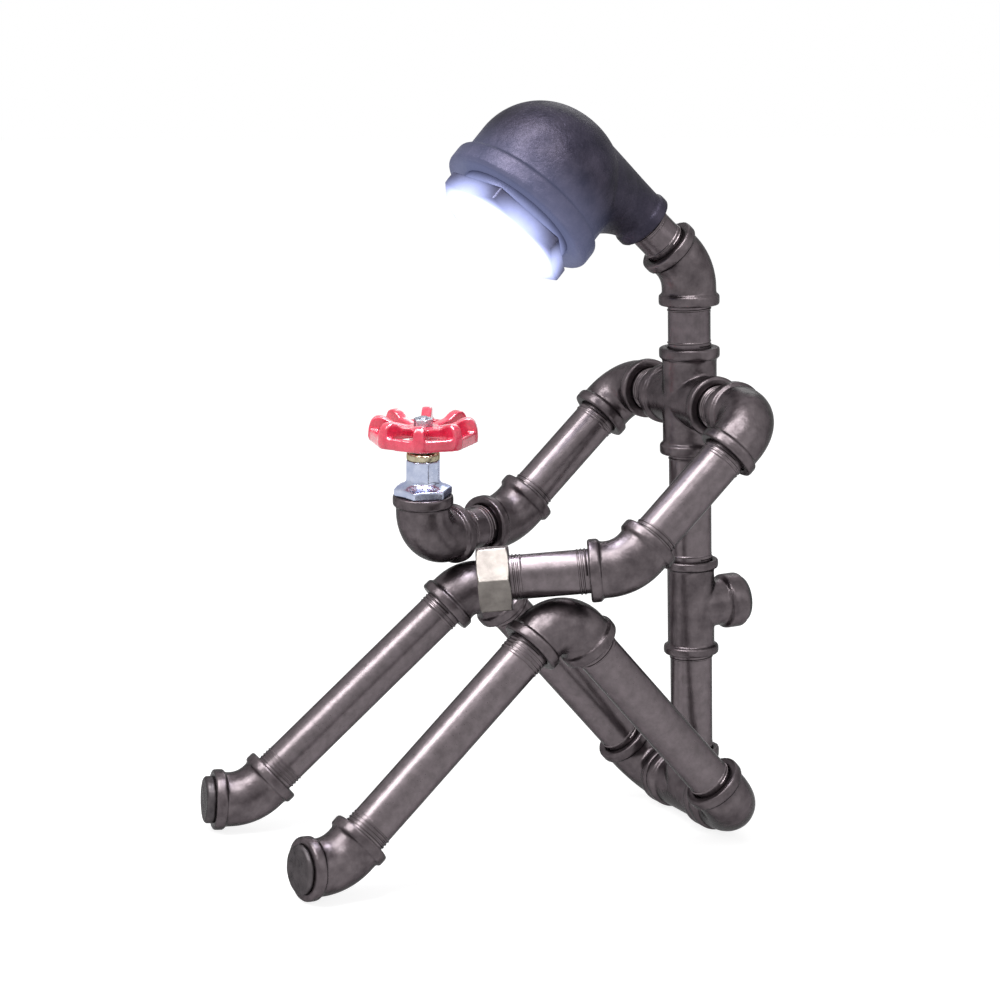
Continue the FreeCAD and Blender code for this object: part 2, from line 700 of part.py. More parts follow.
def make_gland():
    body = body_named("gland_nut")
    inner = "spindle_od / 2 + thread_gap"
    corners = [
        (inner, "0"),
        ("gland_od / 2 - 0.4", "0"),
        ("gland_od / 2", "0.4"),
        ("gland_od / 2", "gland_height - 0.6"),
        ("gland_od / 2 - 0.6", "gland_height"),
        (inner, "gland_height"),
    ]
    turned(body, "gland_turning", corners)
    return body


def make_switch_can():
    body = body_named("switch_can")
    corners = [
        ("0", "0"),
        ("switch_od / 2 - 0.5", "0"),
        ("switch_od / 2", "0.5"),
        ("switch_od / 2", "switch_length - 0.5"),
        ("switch_od / 2 - 0.5", "switch_length"),
        ("0", "switch_length"),
    ]
    turned(body, "can_turning", corners)
    return body


def make_spindle():
    """Round in the column, square in the hub, and screwed above it for the nut."""
    body = body_named("switch_spindle")
    to_hub = "(%s + gland_height + hub_lift - (switch_length - thread_grip))" % column_top
    sketch = sketch_on(body, "spindle_circle", "XY_Plane")
    add_circle(sketch, "spindle_od")
    padded(body, "spindle_shaft", sketch, to_hub)
    square = sketch_on(body, "spindle_square", "XY_Plane", lift=to_hub)
    add_outline(square, polygon("square_across", 4, "45 + wheel_turn"))
    padded(body, "spindle_drive", square, "hub_height - end_gap")
    screw = sketch_on(body, "spindle_screw_circle", "XY_Plane", lift=to_hub + " + hub_height - end_gap")
    add_circle(screw, "screw_od")
    padded(body, "spindle_screw", screw, "end_gap + nut_height + screw_stand")
    return body


def make_wheel():
    """The hand wheel: an eight sided rim, eight humped spokes and a hub. z = 0 is the rim's underside."""
    body = body_named("hand_wheel")
    hub_top = "(hub_height - hub_drop)"
    hub = [
        ("0", "-hub_drop"),
        ("0.42 * hub_od", "-hub_drop"),
        ("0.46 * hub_od", "0"),
        ("hub_od / 2", "0.4 * " + hub_top),
        ("hub_od / 2", "0.8 * " + hub_top),
        ("0.4 * hub_od", hub_top),
        ("0", hub_top),
    ]
    turned(body, "wheel_hub", hub)
    reach = "(wheel_od / 2)"
    spoke = sketch_on(body, "spoke_outline", "XZ_Plane")
    add_outline(spoke, [
        ("hub_od / 4", "0.9 * %s - spoke_depth" % hub_top),
        ("0.55 * " + reach, "rim_height - 0.5 * spoke_depth"),
        (reach + " - rim_width", "0"),
        ("0.96 * " + reach, "0"),
        (reach, "0.4 * rim_height"),
        ("0.985 * " + reach, "0.55 * hump_height"),
        ("0.94 * " + reach, "0.84 * hump_height"),
        ("0.87 * " + reach, "0.97 * hump_height"),
        ("0.79 * " + reach, "hump_height"),
        ("0.69 * " + reach, "0.94 * hump_height"),
        ("0.55 * " + reach, "0.74 * hump_height"),
        ("hub_od / 4", "0.9 * " + hub_top),
    ])
    arm = padded(body, "wheel_spoke", spoke, "spoke_width", middle=True)
    arms = body.newObject("PartDesign::PolarPattern", "wheel_spokes")
    arms.Originals = [arm]
    arms.Axis = (origin_plane(body, "Z_Axis"), [""])
    arms.Angle = 360
    arms.setExpression("Occurrences", bind("wheel_corners"))
    body.Tip = arms
    corners = int(number("wheel_corners"))
    flats = "wheel_od * cos(%gdeg)" % (180 / corners)
    rim = sketch_on(body, "rim_outline", "XY_Plane")
    add_outline(rim, polygon(flats, corners))
    add_outline(rim, polygon("%s - 2 * rim_width" % flats, corners))
    padded(body, "wheel_rim", rim, "rim_height")
    doc.recompute()
    hole = sketch_on(body, "hub_square", "XY_Plane", lift="-hub_drop")
    add_outline(hole, polygon("square_across + 2 * thread_gap", 4, "45"))
    pocketed(body, "hub_hole", hole, "hub_height", backwards=True)
    return body


def make_wheel_nut():
    body = body_named("wheel_nut")
    hexagon_block(body, "nut", "nut_across", "nut_height", "nut_edge")
    doc.recompute()
    hole = sketch_on(body, "nut_hole_circle", "XY_Plane")
    add_circle(hole, "screw_od + 2 * thread_gap")
    pocketed(body, "nut_hole", hole, "nut_height", backwards=True)
    return body


# Wiring

def lead(label, points):
    """A round lead through points in the middle plane of one body's frame, with even bends."""
    bend = number("lead_bend")
    edges = []
    start = points[0]
    for index in range(1, len(points) - 1):
        corner = points[index]
        come = (corner - points[index - 1]).normalize()
        go = (points[index + 1] - corner).normalize()
        tangent = bend * math.tan(come.getAngle(go) / 2)
        first, last = corner - come * tangent, corner + go * tangent
        inward = (go - come).normalize()
        middle = corner + inward * (bend / math.cos(come.getAngle(go) / 2) - bend)
        edges.append(Part.LineSegment(start, first).toShape())
        edges.append(Part.Arc(first, middle, last).toShape())
        start = last
    edges.append(Part.LineSegment(start, points[-1]).toShape())
    section = Part.Wire(Part.Circle(points[0], points[1] - points[0], number("lead_od") / 2).toShape())
    feature = doc.addObject("Part::Feature", label)
    feature.Label = label
    feature.Shape = Part.Wire(edges).makePipeShell([section], True, False)
    return feature


def make_splice():
    body = body_named("wire_splice")
    sketch = sketch_on(body, "splice_square", "XY_Plane", lift="-splice_length / 2")
    add_outline(sketch, polygon("splice_across", 4, "45"))
    padded(body, "splice_block", sketch, "splice_length")
    return body


# Placing along the run

placed = {}


def frame(point, along, towards):
    """A placement at a point whose z runs along, and whose x leans towards."""
    side = along.cross(towards)
    return FreeCAD.Placement(point, FreeCAD.Rotation(side.cross(along), side, along, "ZXY"))


def shifted(place, length):
    return place.multiply(FreeCAD.Placement(FreeCAD.Vector(0, 0, length), FreeCAD.Rotation()))


def rolled(place, degrees):
    return place.multiply(FreeCAD.Placement(origin, FreeCAD.Rotation(z_axis, degrees)))


def tipped(place, degrees):
    return place.multiply(FreeCAD.Placement(origin, FreeCAD.Rotation(y_axis, degrees)))


def put(part, place):
    placed[part.Label] = part
    part.Placement = place
    return place


def put_pipe(label, mouth, seen_length):
    """Screws a pipe into a mouth and gives the place where the next fitting's mouth meets it."""
    put(pipe(label, seen_length), shifted(mouth, -number("thread_grip")))
    return shifted(mouth, number(seen_length))


def put_elbow(part, mouth, reach, turn):
    """Screws an elbow on at a mouth, its bend towards the mouth's x, and gives its other mouth."""
    corner = shifted(mouth, number(reach))
    put(part, corner)
    return shifted(tipped(corner, number(turn)), number(reach))


# The spine stands on the hip tee and leans forwards; its x is the figure's left, its y is its back.
lean = FreeCAD.Placement(origin, FreeCAD.Rotation(x_axis, number("spine_lean")))
spine_up = lean.Rotation.multVec(z_axis)
spine_back = lean.Rotation.multVec(y_axis)
spine_front = spine_back * -1


def on_spine(height):
    return frame(spine_up * number(height), spine_up, x_axis)


put(make_hip_tee(), frame(origin, spine_up, x_axis))
lower_seen = "cable_height - hip_reach - cable_reach"
put_pipe("lower_spine_pipe", on_spine("hip_reach"), lower_seen)
put(make_cable_tee(), frame(spine_up * number("cable_height"), spine_up, spine_back))
drum_mouth = frame(spine_up * number("cable_height") + spine_back * number("drum_reach"), spine_back, x_axis)
put(make_grommet(), drum_mouth)
upper_seen = "shoulder_height - cable_reach - cable_height - cross_reach"
put_pipe("upper_spine_pipe", on_spine("cable_height + cable_reach"), upper_seen)
put(make_cross(), on_spine("shoulder_height"))

joint_points = {}


# Legs: hip, knee and ankle fittings made up tight, so that both feet stand on the floor.
def make_leg(side, out):
    knee_turn = math.radians(number(side + "_knee_turn"))
    thigh = number("thigh_length + 2 * elbow_reach")
    shin = number("shin_length + elbow_reach + bend_reach")
    pitch = math.atan2(shin * math.cos(knee_turn), thigh)
    outwards = x_axis * out
    forwards = FreeCAD.Vector(0, -1, 0)
    thigh_way = forwards * math.cos(pitch) + z_axis * math.sin(pitch)
    fall = forwards * math.sin(pitch) - z_axis * math.cos(pitch)
    shin_way = fall * math.cos(knee_turn) + outwards * math.sin(knee_turn)
    mouth = frame(outwards * number("hip_reach"), outwards, thigh_way)
    mouth = put_pipe(side + "_hip_nipple", mouth, "nipple_gap")
    mouth = put_elbow(right_elbow(side + "_hip_elbow"), mouth, "elbow_reach", "elbow_turn")
    mouth = put_pipe(side + "_thigh_pipe", frame(mouth.Base, thigh_way, shin_way), "thigh_length")
    mouth = put_elbow(right_elbow(side + "_knee_elbow"), mouth, "elbow_reach", "elbow_turn")
    mouth = frame(mouth.Base, shin_way, thigh_way)
    mouth = rolled(mouth, -out * number(side + "_foot_turn"))
    mouth = put_pipe(side + "_shin_pipe", mouth, "shin_length")
    mouth = put_elbow(half_elbow(side + "_ankle_elbow"), mouth, "bend_reach", "bend_turn")
    put(make_toe_plug(side + "_toe_plug", side + "_plug_stand"), mouth)


make_leg("left", 1)
make_leg("right", -1)


# Arms: the shoulder elbow swings on its nipple, the bend turns on the upper arm pipe.
def make_arm(side, out):
    pitch = math.radians(number("arm_pitch"))
    elbow_turn = math.radians(number(side + "_elbow_turn"))
    outwards = x_axis * out
    arm_way = spine_front * math.cos(pitch) - spine_up * math.sin(pitch)
    lift = spine_front * math.sin(pitch) + spine_up * math.cos(pitch)
    bend_way = lift * math.cos(elbow_turn) - outwards * math.sin(elbow_turn)
    middle = spine_up * number("shoulder_height")
    mouth = frame(middle + outwards * number("cross_reach"), outwards, arm_way)
    mouth = put_pipe(side + "_shoulder_nipple", mouth, "shoulder_gap")
    joint_points[side + "_shoulder"] = (mouth.Base, outwards)
    mouth = put_elbow(right_elbow(side + "_shoulder_elbow"), mouth, "elbow_reach", "elbow_turn")
    mouth = put_pipe(side + "_upper_arm_pipe", frame(mouth.Base, arm_way, bend_way), "arm_length")
    joint_points[side + "_elbow"] = (mouth.Base, arm_way)
    return put_elbow(half_elbow(side + "_arm_bend"), mouth, "bend_reach", "bend_turn")


left_mouth = make_arm("left", 1)
left_mouth = put_pipe("left_forearm_pipe", left_mouth, "forearm_length")
put(make_hand_cap(), left_mouth)

right_mouth = make_arm("right", -1)
wrist_way = right_mouth.Rotation.multVec(z_axis)
right_mouth = frame(right_mouth.Base, wrist_way, spine_up)
right_mouth = rolled(right_mouth, number("wrist_roll"))
right_mouth = put_pipe("right_forearm_nipple", right_mouth, "wrist_length")
joint_points["right_wrist"] = (right_mouth.Base, wrist_way)
wrist_in = right_mouth
valve_mouth = put_elbow(right_elbow("right_wrist_elbow"), right_mouth, "elbow_reach", "elbow_turn")
joint_points["switch"] = (valve_mouth.Base, valve_mouth.Rotation.multVec(z_axis))
put(make_bonnet(), valve_mouth)
put(make_switch_can(), shifted(valve_mouth, -number("thread_grip")))
put(make_spindle(), shifted(valve_mouth, number("switch_length - thread_grip")))
put(make_gland(), shifted(valve_mouth, number(column_top)))
hub_seat = "%s + gland_height + hub_lift" % column_top
put(make_wheel(), rolled(shifted(valve_mouth, number(hub_seat + " + hub_drop")), number("wheel_turn")))
put(make_wheel_nut(), shifted(valve_mouth, number(hub_seat + " + hub_height")))

# Neck and head: the neck pipe swivels in the cross, the head swivels on its own nipple.
neck_front = FreeCAD.Rotation(spine_up, -number("neck_turn")).multVec(spine_front)
mouth = frame(spine_up * number("shoulder_height + cross_reach"), spine_up, neck_front)
joint_points["neck"] = (mouth.Base, spine_up)
mouth = put_pipe("neck_pipe", mouth, "neck_length")
mouth = put_elbow(half_elbow("neck_bend"), mouth, "bend_reach", "bend_turn")
head_way = mouth.Rotation.multVec(z_axis)
mouth = put_pipe("head_nipple", mouth, "head_nipple_length")
joint_points["head"] = (mouth.Base, head_way)
mouth = rolled(mouth, number("head_turn"))
head_in = mouth
head_corner = shifted(mouth, number("head_neck_reach"))
put(make_head(), head_corner)
lamp_mouth = shifted(tipped(head_corner, 90), number("head_reach"))
put(make_lens_ring(), shifted(lamp_mouth, number("ring_stand")))
lens_face = shifted(lamp_mouth, number("ring_stand + ring_height - lens_recess"))
put(make_lens(), lens_face)
gasket_face = shifted(lens_face, -number("lens_thickness"))
put(make_gasket(), gasket_face)
reflector_face = shifted(gasket_face, -number("washer_thickness"))
put(make_reflector(), reflector_face)
board_face = shifted(reflector_face, -number("reflector_length"))
put(make_led_board(), board_face)
sink_face = shifted(board_face, -number("board_thickness"))
put(make_heat_sink(), sink_face)

# Wiring: a supply lead and the leads to lamp and switch meet in a joint block in the cross. Each lead
# ends on a joint's axis, face to face with the next one, so that a joint can turn.
grip = number("thread_grip")
cross_middle = spine_up * number("shoulder_height")
block_top = number("splice_length / 2")
block_side = number("splice_across / 2")
put(make_splice(), on_spine("shoulder_height"))
cable_middle = spine_up * number("cable_height")
supply_start = drum_mouth.Base - spine_back * number("grommet_length")
block_bottom = cross_middle - spine_up * block_top
leads = {"supply_lead": [supply_start, cable_middle, block_bottom]}

neck_corner = placed["neck_bend"].Placement.Base
nipple_end = head_in.Base + head_way * grip
leads["neck_lead"] = [cross_middle + spine_up * block_top, neck_corner, nipple_end]
sink_back = sink_face.Base - sink_face.Rotation.multVec(z_axis) * number("sink_length")
leads["head_lead"] = [nipple_end, head_corner.Base, sink_back]

shoulder_corner = placed["right_shoulder_elbow"].Placement.Base
bend_corner = placed["right_arm_bend"].Placement.Base
arm_way = joint_points["right_elbow"][1]
arm_end = joint_points["right_elbow"][0] + arm_way * grip
leads["arm_lead"] = [cross_middle - x_axis * block_side, shoulder_corner, arm_end]
wrist_end = wrist_in.Base + wrist_way * grip
leads["forearm_lead"] = [arm_end, bend_corner, wrist_end]
wrist_corner = placed["right_wrist_elbow"].Placement.Base
can_bottom = shifted(valve_mouth, -grip).Base
leads["hand_lead"] = [wrist_end, wrist_corner, can_bottom]
for label, points in leads.items():
    placed[label] = lead(label, points)

doc.recompute()
for item in doc.Objects:
    if "Invalid" in item.State or "Error" in item.State:
        raise ValueError("%s is not valid: %s" % (item.Name, item.State))
for label, part in placed.items():
    if part.Shape.isNull() or not part.Shape.isValid() or len(part.Shape.Solids) != 1:
        raise ValueError(label + " is not one valid solid")

# The origin is the middle of the base of the box round the whole lamp.
box = FreeCAD.BoundBox()
for part in placed.values():
    box.add(part.Shape.optimalBoundingBox(False))
shift = FreeCAD.Vector(-box.Center.x, -box.Center.y, -box.ZMin)
for part in placed.values():
    part.Placement = FreeCAD.Placement(shift, FreeCAD.Rotation()).multiply(part.Placement)
doc.recompute()

os.makedirs("parts", exist_ok=True)
for label, part in placed.items():
    part.Shape.exportStep("parts/" + label + ".step")

for name, (point, way) in joint_points.items():
    spot = point + shift
    print("joint %s at (%.3f, %.3f, %.3f) axis (%.6f, %.6f, %.6f)" % ((name,) + tuple(spot) + tuple(way)))
cable_spot = drum_mouth.Base + shift
print("cable mouth at (%.3f, %.3f, %.3f)" % tuple(cable_spot), "axis (%.6f, %.6f, %.6f)" % tuple(spine_back))
lamp_spot = lamp_mouth.Base + shift
print("lamp mouth at (%.3f, %.3f, %.3f)" % tuple(lamp_spot), "axis", lamp_mouth.Rotation.multVec(z_axis))
print("box %.1f x %.1f x %.1f, %d pieces" % (box.XLength, box.YLength, box.ZLength, len(placed)))
print("shift (%.3f, %.3f, %.3f)" % tuple(shift))
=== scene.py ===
import json
import math

import bmesh
import bpy
import numpy as np
from mathutils import Matrix, Vector


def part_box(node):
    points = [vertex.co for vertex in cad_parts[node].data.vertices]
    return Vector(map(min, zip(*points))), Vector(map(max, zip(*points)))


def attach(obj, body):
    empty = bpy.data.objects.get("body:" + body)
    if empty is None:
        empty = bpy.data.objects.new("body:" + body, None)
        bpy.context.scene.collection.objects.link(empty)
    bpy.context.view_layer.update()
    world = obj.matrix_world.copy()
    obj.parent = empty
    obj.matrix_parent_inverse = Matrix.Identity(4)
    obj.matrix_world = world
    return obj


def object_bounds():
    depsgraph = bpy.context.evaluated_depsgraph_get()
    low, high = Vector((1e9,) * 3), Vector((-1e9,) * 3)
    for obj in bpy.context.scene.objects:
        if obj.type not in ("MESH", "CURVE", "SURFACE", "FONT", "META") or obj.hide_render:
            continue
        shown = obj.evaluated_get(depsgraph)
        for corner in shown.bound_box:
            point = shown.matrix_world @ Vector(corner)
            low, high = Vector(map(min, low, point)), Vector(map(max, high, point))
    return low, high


# A lamp in the shape of a seated figure, made of half inch black pipe and screwed fittings.
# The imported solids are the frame. This script softens the castings' corners, cuts threads where
# pipes enter their fittings, and gives every piece its finish, with the camera, floor and lights.

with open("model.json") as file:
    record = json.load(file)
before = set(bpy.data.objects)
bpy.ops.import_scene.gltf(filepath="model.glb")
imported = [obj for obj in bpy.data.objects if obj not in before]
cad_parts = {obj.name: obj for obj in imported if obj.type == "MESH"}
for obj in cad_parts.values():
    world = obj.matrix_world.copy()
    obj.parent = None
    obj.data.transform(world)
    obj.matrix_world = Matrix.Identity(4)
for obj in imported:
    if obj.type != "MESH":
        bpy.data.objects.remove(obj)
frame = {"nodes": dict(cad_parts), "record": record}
nodes = frame["nodes"]
bodies = frame["record"]["behaviour"]["bodies"]
bodyOf = {node: body for body, group in bodies.items() for node in group}
cadLow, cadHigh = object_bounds()
mm = 0.001
sides = ("left", "right")
print("frame loaded, nodes:", len(nodes))


def linear(code):
    # an sRGB hex colour in the linear values that a shader takes
    parts = [int(code[i:i + 2], 16) / 255 for i in (1, 3, 5)]
    return tuple(p / 12.92 if p < 0.04045 else ((p + 0.055) / 1.055) ** 2.4 for p in parts) + (1.0,)


def addNode(tree, kind, settings={}, links={}):
    # a shader node with its settings (sockets or properties) and its incoming links
    node = tree.nodes.new(kind)
    for name, value in settings.items():
        if isinstance(name, int) or name in node.inputs:
            node.inputs[name].default_value = value
        else:
            setattr(node, name, value)
    for name, source in links.items():
        tree.links.new(source, node.inputs[name])
    return node


def newMaterial(name, settings):
    material = bpy.data.materials.new(name)
    material.use_nodes = True
    tree = material.node_tree
    tree.nodes.clear()
    shader = addNode(tree, "ShaderNodeBsdfPrincipled", settings)
    addNode(tree, "ShaderNodeOutputMaterial", {}, {"Surface": shader.outputs["BSDF"]})
    place = addNode(tree, "ShaderNodeTexCoord").outputs["Object"]
    return material, tree, shader, place


def giveMaterial(names, material):
    for name in names:
        slots = nodes[name].data.materials
        slots.clear()
        slots.append(material)


def pointsOf(name):
    return np.array([vertex.co for vertex in nodes[name].data.vertices])


def mainDirections(points):
    # three directions at right angles, from the one in which the points spread least to the most
    return [Vector(column) for column in np.linalg.eigh(np.cov((points - points.mean(0)).T))[1].T]


# lamp: paintedGlowAndBeamAhead, coreRadius and rimRadius in mm, beamSoftness in m
lampLook = {
    "paintedGlow": "#B4BEF4", "paintedGlowAndBeamAhead": 14.0,
    "glass": "#E8ECF8", "frost": 1.5, "glassRoughness": 0.35,
    "lensCore": "#FFFFFF", "lensRim": "#D4DCFF", "coreRadius": 14.0, "rimRadius": 27.0,
    "lensPower": 7.0, "unevenness": 0.1,
    "beam": "#F4F4FF", "beamWatts": 1.6, "beamDegrees": 150.0, "beamBlend": 0.6, "beamSoftness": 0.03,
}
lensLow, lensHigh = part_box("lens")
lensCentre = (lensLow + lensHigh) / 2
lampAxis = mainDirections(pointsOf("lens"))[0]
if lampAxis.z > 0:
    lampAxis = -lampAxis  # it shines forwards and down
# the point ahead of the lens where the painted glow on head and ring is centred and the beam lamp sits
paintedGlowAndBeamPoint = lensCentre + lampAxis * lampLook["paintedGlowAndBeamAhead"] * mm

# how far a noise value runs from one colour or roughness to the other, and which edges are worn
pattern = {
    "mottleLow": 0.32, "mottleHigh": 0.68, "grainLow": 0.3, "grainHigh": 0.7,
    "edgeLow": 0.53, "edgeHigh": 0.62, "crumble": 0.6,
}


# Each look: two colours that mottle over patch mm, worn edges, roughness from smooth to dull,
# and a relief of lumps and of fine grain, each with its width and depth in mm. A glow is painted
# light: emission on a piece that is no lamp, standing in for the light that the lens spills,
# full within the first distance in mm from the point ahead of the lens, none past the second,
# then its power and how steeply it fades.

def metalFinish(name, look):
    material, tree, shader, place = newMaterial(name, {
        "Metallic": look["metallic"],
        # Specular tint colours the metal's grazing reflections: the dark violet edge tints of pipe,
        # castings, head and plug paint shade along their rims.
        "Specular Tint": linear(look["edgeTint"]),
        "Coat Weight": look["coat"],
        "Coat Roughness": look["coatRoughness"],
    })
    patches = addNode(tree, "ShaderNodeTexNoise", {
        "Scale": 1 / (look["patch"] * mm), "Detail": 5.0, "Roughness": pattern["crumble"],
    }, {"Vector": place})
    grain = addNode(tree, "ShaderNodeTexNoise", {
        "Scale": 1 / (look["grain"] * mm), "Detail": 3.0, "Roughness": pattern["crumble"],
    }, {"Vector": place})
    lumps = addNode(tree, "ShaderNodeTexNoise", {
        "Scale": 1 / (look["lump"] * mm), "Detail": 2.0,
    }, {"Vector": place})

    mottle = addNode(tree, "ShaderNodeMapRange", {
        "From Min": pattern["mottleLow"], "From Max": pattern["mottleHigh"],
    }, {"Value": patches.outputs["Fac"]})
    colour = addNode(tree, "ShaderNodeMix", {
        "data_type": "RGBA", 6: linear(look["dark"]), 7: linear(look["light"]),
    }, {0: mottle.outputs["Result"]})
    surface = addNode(tree, "ShaderNodeNewGeometry")
    edge = addNode(tree, "ShaderNodeMapRange", {
        "From Min": pattern["edgeLow"], "From Max": pattern["edgeHigh"], "To Max": look["wear"],
    }, {"Value": surface.outputs["Pointiness"]})
    colourWorn = addNode(tree, "ShaderNodeMix", {
        "data_type": "RGBA", 7: linear(look["worn"]),
    }, {0: edge.outputs["Result"], 6: colour.outputs[2]})
    tree.links.new(colourWorn.outputs[2], shader.inputs["Base Color"])

    dull = addNode(tree, "ShaderNodeMapRange", {
        "From Min": pattern["grainLow"], "From Max": pattern["grainHigh"],
        "To Min": look["smooth"], "To Max": look["dull"],
    }, {"Value": grain.outputs["Fac"]})
    tree.links.new(dull.outputs["Result"], shader.inputs["Roughness"])

    relief = addNode(tree, "ShaderNodeBump", {
        "Strength": 1.0, "Distance": look["lumpDepth"] * mm,
    }, {"Height": lumps.outputs["Fac"]})
    fine = addNode(tree, "ShaderNodeBump", {
        "Strength": 1.0, "Distance": look["grainDepth"] * mm,
    }, {"Height": grain.outputs["Fac"], "Normal": relief.outputs["Normal"]})
    tree.links.new(fine.outputs["Normal"], shader.inputs["Normal"])

    # painted glow: emission that stands in for the lens's light falling on this piece, strongest near
    # the lens
    if "paintedGlow" in look:
        near, far, power, curve = look["paintedGlow"]
        away = addNode(tree, "ShaderNodeVectorMath", {
            "operation": "DISTANCE", 1: tuple(paintedGlowAndBeamPoint),
        }, {0: place})
        rise = addNode(tree, "ShaderNodeMapRange", {
            "From Min": far * mm, "From Max": near * mm,
        }, {"Value": away.outputs["Value"]})
        curved = addNode(tree, "ShaderNodeMath", {
            "operation": "POWER", 1: curve,
        }, {0: rise.outputs["Result"]})
        paintedSpill = addNode(tree, "ShaderNodeMath", {
            "operation": "MULTIPLY", 1: power,
        }, {0: curved.outputs[0]})
        shader.inputs["Emission Color"].default_value = linear(lampLook["paintedGlow"])
        tree.links.new(paintedSpill.outputs[0], shader.inputs["Emission Strength"])
    return material


# black malleable iron, sand cast and lacquered: satin, a little violet, with a fine sand grain
castingLook = {
    "dark": "#443D40", "light": "#625A5D", "worn": "#938A8B", "wear": 0.5, "edgeTint": "#352C3A",
    "patch": 9.0, "grain": 1.0, "grainDepth": 0.08, "lump": 6.0, "lumpDepth": 0.3,
    "smooth": 0.28, "dull": 0.42, "metallic": 0.92, "coat": 0.25, "coatRoughness": 0.25,
}
# welded black pipe, mill scale under lacquer: smoother and flatter than the castings
pipeLook = {
    "dark": "#494246", "light": "#61585D", "worn": "#8D8484", "wear": 0.3, "edgeTint": "#352C3A",
    "patch": 5.0, "grain": 1.1, "grainDepth": 0.045, "lump": 8.0, "lumpDepth": 0.14,
    "smooth": 0.27, "dull": 0.37, "metallic": 0.92, "coat": 0.25, "coatRoughness": 0.22,
}
# the head's casting, painted slate: darker, bluer and duller, sand grain still showing, with a painted
# glow near the lens
headLook = {
    "dark": "#2C2A36", "light": "#433F4C", "worn": "#6E6B82", "wear": 0.4, "edgeTint": "#403C55",
    "patch": 11.0, "grain": 1.5, "grainDepth": 0.26, "lump": 9.0, "lumpDepth": 0.5,
    "smooth": 0.38, "dull": 0.54, "metallic": 0.7, "coat": 0.05, "coatRoughness": 0.3,
    "paintedGlow": (43.0, 66.0, 0.26, 1.6),
}
# blued steel ring: dark violet blue, with a strong painted glow near the lens that it holds, standing
# in for the lens's light on it
ringLook = {
    "dark": "#3C3C50", "light": "#55566E", "worn": "#8486A8", "wear": 0.5, "edgeTint": "#8080B0",
    "patch": 8.0, "grain": 0.9, "grainDepth": 0.05, "lump": 5.0, "lumpDepth": 0.1,
    "smooth": 0.28, "dull": 0.42, "metallic": 0.6, "coat": 0.2, "coatRoughness": 0.2,
    "paintedGlow": (31.0, 40.0, 3.0, 1.8),
}
# turned steel plug, phosphated: dark grey and flat
plugLook = {
    "dark": "#3F3B3D", "light": "#565153", "worn": "#8A8486", "wear": 0.6, "edgeTint": "#403A42",
    "patch": 5.0, "grain": 0.8, "grainDepth": 0.05, "lump": 4.0, "lumpDepth": 0.15,
    "smooth": 0.36, "dull": 0.5, "metallic": 0.8, "coat": 0.1, "coatRoughness": 0.3,
}
# plain steel cap, machined: bright where it faces the light
capLook = {
    "dark": "#67625F", "light": "#7D7874", "worn": "#A8A4A0", "wear": 0.6, "edgeTint": "#8A8690",
    "patch": 6.0, "grain": 0.7, "grainDepth": 0.03, "lump": 4.0, "lumpDepth": 0.12,
    "smooth": 0.34, "dull": 0.44, "metallic": 0.95, "coat": 0.0, "coatRoughness": 0.2,
}
# crimson stoving enamel over a zinc casting: thick, glossy, paler where it thins on edges
enamelLook = {
    "dark": "#C41F3D", "light": "#DE3A58", "worn": "#F0899B", "wear": 0.55, "edgeTint": "#FFFFFF",
    "patch": 7.0, "grain": 2.2, "grainDepth": 0.04, "lump": 4.0, "lumpDepth": 0.25,
    "smooth": 0.2, "dull": 0.3, "metallic": 0.0, "coat": 0.8, "coatRoughness": 0.08,
}
# chrome plate on a cast bonnet: blurred reflections with a cool cast
chromeLook = {
    "dark": "#9AA2BA", "light": "#B4BACD", "worn": "#D8DCE8", "wear": 0.3, "edgeTint": "#C8CCE0",
    "patch": 5.0, "grain": 1.5, "grainDepth": 0.02, "lump": 5.0, "lumpDepth": 0.06,
    "smooth": 0.18, "dull": 0.26, "metallic": 1.0, "coat": 0.0, "coatRoughness": 0.1,
}
# dull nickel over brass, turned: warm where the plate is thin
glandLook = {
    "dark": "#8D8468", "light": "#B9B19A", "worn": "#D8D2C2", "wear": 0.4, "edgeTint": "#B9B19A",
    "patch": 3.0, "grain": 0.8, "grainDepth": 0.03, "lump": 3.0, "lumpDepth": 0.1,
    "smooth": 0.2, "dull": 0.32, "metallic": 1.0, "coat": 0.0, "coatRoughness": 0.2,
}
# zinc plated steel nut and screw end: light, finely pitted
steelLook = {
    "dark": "#A4A8B2", "light": "#C4C8D0", "worn": "#E4E6EA", "wear": 0.4, "edgeTint": "#C4C8D0",
    "patch": 2.0, "grain": 0.6, "grainDepth": 0.02, "lump": 2.0, "lumpDepth": 0.05,
    "smooth": 0.2, "dull": 0.35, "metallic": 1.0, "coat": 0.0, "coatRoughness": 0.2,
}
# plain extruded aluminium with sawn fins: pale and half matt
aluminiumLook = {
    "dark": "#B4B6B8", "light": "#C8CACC", "worn": "#E0E2E4", "wear": 0.3, "edgeTint": "#C8CACC",
    "patch": 4.0, "grain": 0.6, "grainDepth": 0.03, "lump": 3.0, "lumpDepth": 0.05,
    "smooth": 0.3, "dull": 0.45, "metallic": 1.0, "coat": 0.0, "coatRoughness": 0.2,
}
# metallised cup: evaporated aluminium on plastic, almost a mirror
mirrorLook = {
    "dark": "#D8DCE6", "light": "#E4E8F0", "worn": "#F2F4F8", "wear": 0.2, "edgeTint": "#E4E8F0",
    "patch": 6.0, "grain": 1.2, "grainDepth": 0.01, "lump": 3.0, "lumpDepth": 0.03,
    "smooth": 0.05, "dull": 0.1, "metallic": 1.0, "coat": 0.0, "coatRoughness": 0.1,
}
# black rubber of gasket and cable bush: moulded, dull
rubberLook = {
    "dark": "#1D1D1F", "light": "#29292B", "worn": "#38383A", "wear": 0.4, "edgeTint": "#FFFFFF",
    "patch": 5.0, "grain": 0.5, "grainDepth": 0.04, "lump": 3.0, "lumpDepth": 0.05,
    "smooth": 0.55, "dull": 0.72, "metallic": 0.0, "coat": 0.0, "coatRoughness": 0.3,
}
